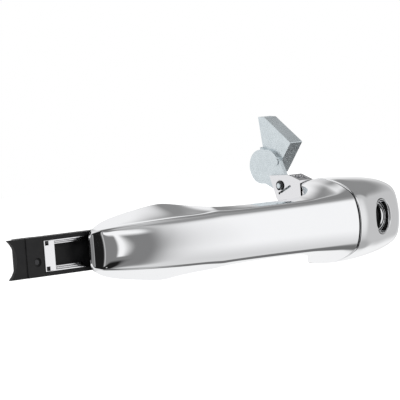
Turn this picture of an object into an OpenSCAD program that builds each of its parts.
// Exterior car door handle: a hinged pull grip, a lock cap with a keyhole, and a
// counterweight lever that swings in a clevis behind the grip.
// Origin: lock bore axis at the door skin. +X towards the lock end, -Y out of the
// door, +Z up. The skin is the plane Y = 0.

/* [Grip] */
// Distance from the lock axis to the tip of the grip's front foot
grip_reach = 191; // [188:1:194]
// How far the grip stands off the skin at its highest point
grip_depth = 35; // [34:0.5:37]
// Half height of the front face at the seam
face_half = 14.4; // [13.6:0.2:15]
// Clear space between the skin and the back of the grip
finger_depth = 17; // [15:0.5:18]
// Wall of the chrome shells
wall = 2.4; // [2:0.1:2.8]

/* [Lock cap] */
// Plane of the seam between grip and cap
seam_x = -27; // [-29:0.5:-26]
// Width of the seam
seam_gap = 1; // [0.6:0.1:1.4]
// Distance from the lock axis to the cap's outer end
cap_reach = 27; // [26:0.5:30]
// Radius of the keyhole opening
keyhole_r = 9.9; // [9:0.1:10.5]
// Radius of the bore that takes a lock cylinder
lock_r = 7.6; // [7:0.1:8]

/* [Hinge arm] */
// Height of the arm
arm_h = 20.8; // [19:0.2:22]
// Depth of the arm's channel
arm_deep = 7.5; // [6.5:0.5:8]
// Front face of the arm, behind the skin
arm_y = 4; // [3.5:0.5:5]
// Radius of the hinge bore in the shoe
hinge_r = 2.5; // [2:0.1:3]

/* [Lever] */
// Radius of the lever's pivot pin
pin_r = 1.5; // [1.2:0.1:1.8]
// Thickness of the lever plate
lever_t = 2.2; // [1.6:0.1:2.4]
// Thickness of the counterweight block
weight_t = 9.2; // [7:0.1:10]
// Sheet thickness of the clevis bracket
sheet_t = 1.5; // [1.2:0.1:1.8]

/* [Hidden] */
$fn = 48;

// Ends of the two shells
grip_x0 = -grip_reach;
grip_x1 = seam_x - seam_gap / 2;
cap_x0 = seam_x + seam_gap / 2;
cap_x1 = cap_reach;

// Stations along the shells: [x, value]
grip_front = [
    [grip_x0, 1.6], [grip_x0 + 1.3, 2.2], [grip_x0 + 2.2, 4.2], [grip_x0 + 3.4, 7.2],
    [grip_x0 + 5, 9.4], [grip_x0 + 15, 13.6],
    [grip_x0 + 32, 19], [-134, 24.4], [-105, 29], [-70, 32.4], [-45, 34.2], [grip_x1, grip_depth]];
grip_face = [
    [grip_x0, 6.5], [grip_x0 + 1.5, 9], [grip_x0 + 5, 10.6], [grip_x0 + 19, 11.9],
    [-134, face_half - 1], [-80, face_half - 0.5], [grip_x1, face_half]];
grip_base = [
    [grip_x0, 7.6], [grip_x0 + 1.5, 10.4], [grip_x0 + 5, 12.8], [grip_x0 + 12, 15.4],
    [grip_x0 + 23, 17.5], [grip_x0 + 38, 19.6], [-143, 20.6], [-136, 20.2], [-129, 18.4],
    [-118, 16.5], [-100, 15.7], [-58, 15.7], [-50, 17.2], [-42, 20.8], [-35, 22.9],
    [grip_x1, 24.1]];
// How far the sides bow outwards: 0 nearly straight, 1 rounded into the skin
grip_bow = [[grip_x0, 0], [-120, 0.1], [-60, 0.5], [grip_x1, 1]];
cap_front = [
    [cap_x0, grip_depth], [-18, 33.2], [-9, 29.5], [0, 25.6], [9, 21.4], [16, 18],
    [cap_x1 - 6.5, 15.8], [cap_x1 - 3.5, 13.8], [cap_x1 - 1.6, 11.4], [cap_x1 - 0.4, 8.4],
    [cap_x1, 6]];
cap_face = [
    [cap_x0, face_half], [0, face_half + 0.2], [9, face_half + 0.1],
    [cap_x1 - 6.5, face_half - 0.4], [cap_x1 - 1.6, face_half - 1.6], [cap_x1, face_half - 3]];
cap_base = [
    [cap_x0, 24.1], [-18, 24.1], [-7, 23.6], [3, 22.6], [14, 20.8], [cap_x1 - 6, 18.6],
    [cap_x1 - 2.2, 16.4], [cap_x1, 14]];
crown = 3.3;
edge_r = 2.8;
bow_power = 2.4;

// Arch over the fingers: where it leaves and meets the skin
arch_x = [-137, -117, -54, -35];

// Screw places [x, z] and the bosses that take them
arm_screw_x = [-174, -158];
bracket_screw_z = [-3, 9];
bracket_screw_x = -33.5;
cap_screw_z = 7;
cap_screw_x = -17;
screw_r = 1.6;
screw_clear = 0.05;
boss_r = 3.2;
back_t = 3;
frame_t = 3;
frame_inset = 1;
boss_gap = 0.3;
fit_gap = 0.25;

// Hinge arm and shoe
shoe_x0 = -240;
shoe_x1 = -218;
notch_deep = 5;
notch_r = (pow(arm_h / 2, 2) + pow(notch_deep, 2)) / (2 * notch_deep);
hinge_x = -229;
hinge_y = arm_y + arm_deep / 2 + 1;
hinge_wall = 2.25;
arm_wall = 2;
arm_x1 = -149;
neck = [-183, -151];
neck_half = 8;
tongue_x = -225.5;
tongue_half = 7;
rivet_at = [-222.3, -2.6];
pocket = [-210.4, -188];
pocket_half = 5.4;
liner = [-217.4, -190.6];

// Clevis and lever: cheek planes and the pin's place [y, z]
cheek_x0 = -38.5;
cheek_x1 = -28.6;
pin_at = [16.7, 21.3];
ear_r = 4.5;
lever_x = cheek_x0 + sheet_t + 0.4;
weight_x = lever_x + lever_t;
hub_r = 5;
bush_r = 3;
lobe_at = [31.6, 32.2];
lobe_r = 9.7;
lobe_stretch = 2.7;
rivet_r = 1.3;
rivet_spot = [20.8, 34.7];
slot_at = [[18.1, 16.9], [8.6, 20.9]];
slot_r = 0.6;
wire_r = 0.45;
coil_r = bush_r + 0.9;
coil_turns = 3;

chrome = [0.82, 0.83, 0.85];
zinc = [0.72, 0.79, 0.80];
black = [0.16, 0.16, 0.17];
rubber = [0.07, 0.07, 0.07];

// ---- curves -------------------------------------------------------------

// Index of the last station at or before x
function station(t, x, i = 0) = (i >= len(t) - 2 || x < t[i + 1][0]) ? i : station(t, x, i + 1);

// Slope of a station table at row i
function slope(t, i) =
    let (a = max(i - 1, 0), b = min(i + 1, len(t) - 1)) (t[b][1] - t[a][1]) / (t[b][0] - t[a][0]);

// Smooth curve through the rows of a station table
function curve(t, x) =
    let (i = station(t, x), w = t[i + 1][0] - t[i][0], u = min(max((x - t[i][0]) / w, 0), 1))
        (1 + 2 * u) * pow(1 - u, 2) * t[i][1] + u * pow(1 - u, 2) * w * slope(t, i)
        + u * u * (3 - 2 * u) * t[i + 1][1] - u * u * (1 - u) * w * slope(t, i + 1);

function ease(u) = let (v = min(max(u, 0), 1)) v * v * (3 - 2 * v);

// Back level of the grip at x: 0 at the feet, finger_depth over the fingers
function arch(x) = finger_depth
    * ease((x - arch_x[0]) / (arch_x[1] - arch_x[0]))
    * ease((arch_x[3] - x) / (arch_x[3] - arch_x[2]));

// One point of a quarter of a quadratic curve
function bend(a, b, c, u) = a * pow(1 - u, 2) + b * 2 * u * (1 - u) + c * u * u;

// Half height of a side, a share u of the way from the front edge to the back: w is its bow
function side(f, h, w, u) = f + (h - f) * ((1 - w) * pow(u, 1.2) + w * (1 - pow(1 - u, bow_power)));

// The rounded front edge of a section: [end of the crown, corner, start of the side, crown drop]
// d: depth of the crown, f: face half height, h: half height at the back, b: back level
function edge(d, f, h, b, w) =
    let (c = min(crown, 0.25 * d), r = min(edge_r, 0.3 * (d - b)), run = d - c - b)
        [[-(d - c * pow((f - r) / f, 2)), f - r], [c - d, f], [c - d + r, side(f, h, w, r / run)], c];

// Half height of a section at depth y, behind its front edge
function side_half(d, f, h, b, w, y) =
    let (c = min(crown, 0.25 * d)) side(f, h, w, min(max((y + d - c) / (d - c - b), 0), 1));

// Upper half of a section, from the crown to the back edge, as [y, z]
function half_section(d, f, h, b, w) =
    let (e = edge(d, f, h, b, w), z1 = e[0][1])
    concat(
        [for (i = [0:3]) let (z = z1 * i / 4) [-(d - e[3] * pow(z / f, 2)), z]],
        [for (i = [0:3]) bend(e[0], e[1], e[2], i / 3)],
        [for (i = [1:6]) let (y = e[2][0] + (-b - e[2][0]) * i / 6) [y, side_half(d, f, h, b, w, y)]]);

// Whole section at x, from the lower back edge round the front to the upper one
function ring(x, half) = concat(
    [for (i = [len(half) - 1:-1:1]) [x, half[i][0], -half[i][1]]],
    [for (p = half) [x, p[0], p[1]]]);

function flat(lists) = [for (l = lists) each l];

// Faces of a grid of rows, each row n points long
function grid(rows, n, start, turn) = flat([
    for (i = [0:rows - 2], j = [0:n - 2])
        let (a = start + i * n + j, b = a + 1, c = a + n, d = c + 1)
            turn ? [[a, c, d], [a, d, b]] : [[a, d, c], [a, b, d]]]);

// Closed shell, open at the back: outer rings, inner rings and the rim that joins them
module shell(outer, inner) {
    n = len(outer[0]);
    m = len(outer);
    o = m * n;
    last = (m - 1) * n;
    rim = flat([for (i = [0:m - 2]) let (a = i * n, c = a + n) [
        [a, c, o + c], [a, o + c, o + a],
        [a + n - 1, o + c + n - 1, c + n - 1], [a + n - 1, o + a + n - 1, o + c + n - 1]]]);
    ends = concat(
        [[for (j = [0:n - 1]) j], [for (j = [n - 1:-1:0]) last + j]],
        [[for (j = [n - 1:-1:0]) o + j], [for (j = [0:n - 1]) o + last + j]],
        [[0, o, o + n - 1], [0, o + n - 1, n - 1]],
        [[last, o + last + n - 1, o + last], [last, last + n - 1, o + last + n - 1]]);
    polyhedron(flat(concat(outer, inner)), concat(grid(m, n, 0, true), grid(m, n, o, false), rim, ends));
}

// Evenly eased places from x0 to x1, closer together at the ends
function places(x0, x1, n) = [for (i = [0:n]) x0 + (x1 - x0) * (1 - cos(180 * i / n)) / 2];

// Places for the inner skin: the same share of a shorter run
function inside(x, x0, x1) = x0 + wall + (x - x0) * (x1 - x0 - 2 * wall) / (x1 - x0);

// Closed bar through a row of rings
module bar(rings) {
    n = len(rings[0]);
    m = len(rings);
    side = flat([for (i = [0:m - 2], j = [0:n - 1])
        let (a = i * n + j, b = i * n + (j + 1) % n) [[a, a + n, b + n], [a, b + n, b]]]);
    polyhedron(flat(rings), concat(side,
        [[for (j = [0:n - 1]) j], [for (j = [n - 1:-1:0]) (m - 1) * n + j]]));
}

function grip_half(x, off) = half_section(
    curve(grip_front, x) - off, curve(grip_face, x) - off, curve(grip_base, x) - off, arch(x),
    curve(grip_bow, x));
function cap_half(x, off) = half_section(
    curve(cap_front, x) - off, curve(cap_face, x) - off, curve(cap_base, x) - off, 0, 1);

// Half height inside the grip's shell at a height above its back edge
function grip_room(x, rise) = side_half(
    curve(grip_front, x) - wall, curve(grip_face, x) - wall, curve(grip_base, x) - wall,
    arch(x), curve(grip_bow, x), -arch(x) - rise) - fit_gap;

// Round bar along Y from y0 to y1 at [x, z]
module post(x, z, y0, y1, r) {
    translate([x, y1, z]) rotate([90, 0, 0]) cylinder(h = y1 - y0, r = r);
}

// Flat outline in X and Z, thickened from y0 to y1
module slab(y0, y1) {
    translate([0, y1, 0]) rotate([90, 0, 0]) linear_extrude(height = y1 - y0) children();
}

// Outline in Y and Z, thickened from x0 to x1
module cheek(x0, x1) {
    translate([x0, 0, 0]) rotate([90, 0, 90]) linear_extrude(height = x1 - x0) children();
}

// Footprint on the skin, from a base table, between two places and pulled in by an inset
module footprint(table, x0, x1, inset) {
    xs = places(x0 + inset, x1 - inset, 14);
    polygon(concat(
        [for (x = xs) [x, -curve(table, x) + inset]],
        [for (i = [len(xs) - 1:-1:0]) [xs[i], curve(table, xs[i]) - inset]]));
}

// Pan head screw along Y: the head's flat seat is at y0 and the tip at y1 = y0 - length
module screw(x, z, y0, length) {
    post(x, z, y0, y0 + 1.8, screw_r * 1.9);
    post(x, z, y0 - length, y0, screw_r);
}

// ---- lock cap -----------------------------------------------------------

module cap_cover() {
    xs = places(cap_x0, cap_x1, 20);
    color(chrome) difference() {
        union() {
            shell([for (x = xs) ring(x, cap_half(x, 0))],
                [for (x = xs) let (q = inside(x, cap_x0, cap_x1)) ring(q, cap_half(q, wall))]);
            for (z = [-cap_screw_z, cap_screw_z])
                post(cap_screw_x, z, -curve(cap_front, cap_screw_x) + wall / 2 + 0.8, -frame_t - boss_gap, boss_r);
        }
        post(0, 0, -grip_depth - 5, -8, keyhole_r);
        for (z = [-cap_screw_z, cap_screw_z]) post(cap_screw_x, z, -16, 0, screw_r + screw_clear);
    }
}

module cap_frame() {
    color(black) difference() {
        union() {
            slab(-frame_t, 0) footprint(cap_base, cap_x0, cap_x1, wall + frame_inset);
            post(0, 0, -13.5, 0, lock_r + 2.4);
            translate([9, 0, -7]) cube([13, 15, 14]);
        }
        post(0, 0, -20, 20, lock_r);
        for (z = [-cap_screw_z, cap_screw_z]) post(cap_screw_x, z, -10, 5, screw_r + screw_clear);
        translate([11, 8.5, 0]) rotate([0, 90, 0]) cylinder(h = 20, r = 4);
    }
}

module keyhole_bezel() {
    slope_angle = atan((curve(cap_front, -keyhole_r) - curve(cap_front, keyhole_r)) / (2 * keyhole_r));
    face = curve(cap_front, 0);
    color(chrome) difference() {
        rotate([90, 0, 0]) rotate_extrude() polygon([
            [lock_r + 0.2, 13.7], [keyhole_r - 0.1, 13.7], [keyhole_r - 0.1, face + 6],
            [keyhole_r - 0.7, face + 6], [keyhole_r - 1.1, 18.5], [lock_r + 0.2, 17.4]]);
        translate([0, -face, 0]) rotate([0, 0, slope_angle]) translate([-25, -30, -25]) cube([50, 30, 50]);
    }
}

module cap_gasket() {
    color(rubber) difference() {
        slab(0, 1.2) footprint(cap_base, cap_x0, cap_x1, 0.5);
        post(0, 0, -1, 3, lock_r + 1.5);
        translate([8.8, -1, -7.2]) cube([13.4, 4, 14.4]);
        for (z = [-cap_screw_z, cap_screw_z]) post(cap_screw_x, z, -1, 3, screw_r * 1.9 + 0.3);
    }
}

module edge_insert() {
    color([0.78, 0.66, 0.35]) translate([11, 8.5, 0]) rotate([0, 90, 0]) difference() {
        cylinder(h = 11, r = 4);
        translate([0, 0, -1]) cylinder(h = 13, r = 2.5);
    }
}

module cap_screws() {
    color(zinc) for (z = [-cap_screw_z, cap_screw_z]) screw(cap_screw_x, z, 0, 14);
}

// ---- grip ---------------------------------------------------------------

module grip_cover() {
    xs = places(grip_x0, grip_x1, 38);
    color(chrome) difference() {
        union() {
            shell([for (x = xs) ring(x, grip_half(x, 0))],
                [for (x = xs) let (q = inside(x, grip_x0, grip_x1)) ring(q, grip_half(q, wall))]);
            for (x = arm_screw_x)
                post(x, 0, -curve(grip_front, x) + wall / 2, -back_t - boss_gap, boss_r);
            for (z = bracket_screw_z)
                post(bracket_screw_x, z, -curve(grip_front, bracket_screw_x) + wall, -7, boss_r);
        }
        for (x = arm_screw_x) post(x, 0, -9.5, 0, screw_r + screw_clear);
        for (z = bracket_screw_z) post(bracket_screw_x, z, -16, 0, screw_r + screw_clear);
    }
}

module grip_back() {
    xs = places(grip_x0 + wall + 1.6, grip_x1 - wall - fit_gap, 36);
    color(chrome) difference() {
        bar([for (x = xs) let (b = arch(x), h = grip_room(x, 0), top = grip_room(x, back_t)) [
            [x, -b - back_t, -top], [x, -b - back_t, top], [x, -b - 0.5, h - 0.2],
            [x, -b, h - 0.8], [x, -b, -h + 0.8], [x, -b - 0.5, -h + 0.2]]]);
        for (x = arm_screw_x) post(x, 0, -9, 2, screw_r + screw_clear);
        for (z = bracket_screw_z) post(bracket_screw_x, z, -9, 2, screw_r + screw_clear);
    }
}

module hinge_arm() {
    back_y = arm_y + arm_deep;
    color(black) difference() {
        union() {
            translate([shoe_x1, back_y - arm_wall, -arm_h / 2]) cube([arm_x1 - shoe_x1, arm_wall, arm_h]);
            for (z = [-arm_h / 2, arm_h / 2 - arm_wall])
                translate([shoe_x1, arm_y, z]) cube([arm_x1 - shoe_x1, arm_deep, arm_wall]);
            translate([neck[0], 0, -neck_half]) cube([neck[1] - neck[0], back_y - 0.5, 2 * neck_half]);
            translate([tongue_x, back_y - arm_wall, -tongue_half])
                cube([shoe_x1 - tongue_x + 1, arm_wall, 2 * tongue_half]);
        }
        for (x = arm_screw_x) {
            post(x, 0, -1, back_y + 1, screw_r + screw_clear);
            post(x, 0, back_y - 4, back_y + 1, screw_r * 1.9 + 0.3);
        }
        post(rivet_at[0], rivet_at[1], 0, back_y + 1, screw_r);
    }
}

module pocket_liner() {
    back_y = arm_y + arm_deep - arm_wall;
    color(chrome) difference() {
        translate([liner[0], arm_y + 0.2, -arm_h / 2 + arm_wall + 0.1])
            cube([liner[1] - liner[0], back_y - arm_y - 0.2, arm_h - 2 * arm_wall - 0.2]);
        for (i = [0:2])
            translate([pocket[0], arm_y - 1 + i * 1.1, -pocket_half - 2 + i * 0.9])
                cube([pocket[1] - pocket[0], 2.3 + (i == 2 ? back_y : 0), 2 * (pocket_half + 2 - i * 0.9)]);
        for (z = [-1, 1])
            translate([liner[0] + 1, arm_y - 1, z * 6.7 - 1]) cube([2, 4, 2]);
    }
}

module hinge_shoe() {
    back_y = arm_y + arm_deep + 1.5;
    tongue_y = arm_y + arm_deep - arm_wall;
    color(black) difference() {
        union() {
            translate([shoe_x0, arm_y, -arm_h / 2]) cube([shoe_x1 - shoe_x0, 3, arm_h]);
            translate([hinge_x, arm_y, -arm_h / 2]) cube([shoe_x1 - hinge_x, back_y - arm_y, arm_h]);
            translate([hinge_x, hinge_y, -arm_h / 2]) cylinder(h = arm_h, r = hinge_r + hinge_wall);
        }
        translate([hinge_x, hinge_y, -arm_h]) cylinder(h = 2 * arm_h, r = hinge_r);
        post(shoe_x0 + notch_deep - notch_r, 0, 0, back_y + 5, notch_r);
        translate([shoe_x0 - 1, arm_y - 1, -arm_h]) cube([hinge_x - shoe_x0 + 1, 1.5, 2 * arm_h]);
        translate([tongue_x, tongue_y, -tongue_half]) cube([20, arm_wall, 2 * tongue_half]);
        post(rivet_at[0], rivet_at[1], 0, back_y + 1, screw_r);
        post(rivet_at[0], rivet_at[1], 0, arm_y + 0.8, screw_r + 0.7);
    }
}

module shoe_pin() {
    color(black) post(rivet_at[0], rivet_at[1], arm_y + 0.8, arm_y + arm_deep + 1.3, screw_r);
}

module arm_screws() {
    color(zinc) for (x = arm_screw_x) screw(x, 0, arm_y + arm_deep - 4, 15.5);
}

module front_pad() {
    color(rubber) difference() {
        slab(0, 1.6) footprint(grip_base, grip_x0 + 1.5, -137, 0.7);
        translate([neck[0] - 0.2, -1, -neck_half - 0.2]) cube([neck[1] - neck[0] + 0.4, 5, 2 * neck_half + 0.4]);
    }
}

module clevis_bracket() {
    color(chrome) difference() {
        union() {
            translate([cheek_x0, 0, -8]) cube([cheek_x1 - cheek_x0, sheet_t, 32]);
            cheek(cheek_x0, cheek_x0 + sheet_t)
                polygon([[0, -8], [6, -8], [20.9, 14.5], [25.5, 27.2], [9.2, 27.3], [0, 24]]);
            cheek(cheek_x1 - sheet_t, cheek_x1) {
                polygon([[0, -8], [6, -8], [pin_at[0] + 3.8, pin_at[1] - 2.4], [pin_at[0] - 2.4, pin_at[1] + 3.8], [0, 24]]);
                translate(pin_at) circle(r = ear_r);
            }
            cheek(cheek_x0, cheek_x1) polygon([[0, 24], [9.2, 27.3], [9.2, 25.7], [0, 22.4]]);
        }
        translate([cheek_x0 - 1, pin_at[0], pin_at[1]]) rotate([0, 90, 0]) cylinder(h = 20, r = pin_r);
        for (z = bracket_screw_z) post(bracket_screw_x, z, -1, 3, screw_r + screw_clear);
        translate([cheek_x0 + 2.4, 3.4, 20]) cube([2, 4.6, 12]);
        translate([cheek_x0 + 6, 1.8, 20]) cube([1.8, 5, 12]);
        hull() for (p = slot_at)
            translate([cheek_x0 - 1, p[0], p[1]]) rotate([0, 90, 0]) cylinder(h = sheet_t + 1.5, r = slot_r);
    }
}

module bracket_screws() {
    color(zinc) for (z = bracket_screw_z) screw(bracket_screw_x, z, sheet_t, 14);
}

module rear_bumper() {
    color(rubber) intersection() {
        slab(0, 1.4) footprint(grip_base, -35.4, grip_x1, 0);
        translate([-40, -1, -30]) cube([20, 4, 21]);
    }
}

module lever_pin() {
    color(zinc) translate([cheek_x0 - 1.6, pin_at[0], pin_at[1]]) rotate([0, 90, 0]) difference() {
        cylinder(h = cheek_x1 - cheek_x0 + 2.2, r = pin_r);
        translate([0, 0, 0.8]) difference() {
            cylinder(h = 0.6, r = pin_r + 1);
            translate([0, 0, -1]) cylinder(h = 3, r = pin_r - 0.4);
        }
    }
}

module e_clip() {
    color(black) translate([cheek_x0 - 0.8, pin_at[0], pin_at[1]]) rotate([0, 90, 0]) difference() {
        cylinder(h = 0.6, r = pin_r + 1.3);
        translate([0, 0, -1]) cylinder(h = 3, r = pin_r - 0.4);
        translate([0, -(pin_r - 0.55), -1]) cube([6, 2 * (pin_r - 0.55), 3]);
    }
}

module torsion_spring() {
    turns = coil_turns + 0.4;
    steps = 88;
    pitch = 2 * wire_r + 0.02;
    leg = [7, 11];
    // Section of the wire at an angle round the coil, slid along the wire's own direction
    function wire(angle, run) = [for (k = [0:7]) let (
        rad = coil_r + wire_r * cos(45 * k),
        x = -wire_r - 0.05 - pitch * angle / 360 + wire_r * sin(45 * k))
            [x, rad * cos(angle) - run * sin(angle), rad * sin(angle) + run * cos(angle)]];
    color(zinc) translate([cheek_x1 - sheet_t, pin_at[0], pin_at[1]]) rotate([150, 0, 0]) mirror([0, 0, 1])
        bar(concat([wire(0, -leg[0])], [for (i = [0:steps]) wire(360 * turns * i / steps, 0)],
            [wire(360 * turns, leg[1])]));
}

// ---- lever --------------------------------------------------------------

module bellcrank_lever() {
    color(zinc) difference() {
        cheek(lever_x, lever_x + lever_t) {
            for (s = [-1, 1]) translate([lobe_at[0] + s * lobe_stretch, lobe_at[1]]) circle(r = lobe_r);
            translate([lobe_at[0] - lobe_stretch, lobe_at[1] - lobe_r]) square([2 * lobe_stretch, 2 * lobe_r]);
            translate(pin_at) circle(r = hub_r);
            polygon([[33.8, 43.4], [18.8, 36.8], [pin_at[0] - 4.3, pin_at[1] + 2.5],
                [pin_at[0] + 2.5, pin_at[1] - 4.3], [36, 24.5]]);
        }
        translate([lever_x - 1, pin_at[0], pin_at[1]]) rotate([0, 90, 0]) cylinder(h = lever_t + 2, r = bush_r);
        translate([lever_x - 1, rivet_spot[0], rivet_spot[1]]) rotate([0, 90, 0]) cylinder(h = 5, r = rivet_r);
    }
}

module counterweight() {
    color(zinc) difference() {
        cheek(weight_x, weight_x + weight_t)
            polygon([[36.3, 60.7], [30.7, 60.2], [9.8, 45.2], [24.3, 28.2], [33, 34], [34.4, 46]]);
        translate([weight_x - 1, rivet_spot[0], rivet_spot[1]]) rotate([0, 90, 0]) cylinder(h = 7, r = rivet_r);
    }
}

module counterweight_rivet() {
    color(zinc) translate([lever_x - 0.6, rivet_spot[0], rivet_spot[1]]) rotate([0, 90, 0]) {
        cylinder(h = 0.6, r = rivet_r + 0.7);
        cylinder(h = lever_t + 6, r = rivet_r);
    }
}

module lever_bush() {
    length = cheek_x1 - cheek_x0 - 2 * sheet_t - 0.4;
    color([0.85, 0.84, 0.78]) translate([cheek_x0 + sheet_t + 0.2, pin_at[0], pin_at[1]]) rotate([0, 90, 0])
        difference() {
            cylinder(h = length, r = bush_r);
            translate([0, 0, -1]) cylinder(h = length + 2, r = pin_r + screw_clear);
        }
}

cap_cover();
cap_frame();
keyhole_bezel();
cap_gasket();
edge_insert();
cap_screws();
grip_cover();
grip_back();
hinge_arm();
pocket_liner();
hinge_shoe();
shoe_pin();
arm_screws();
front_pad();
clevis_bracket();
bracket_screws();
rear_bumper();
lever_pin();
e_clip();
torsion_spring();
bellcrank_lever();
counterweight();
counterweight_rivet();
lever_bush();
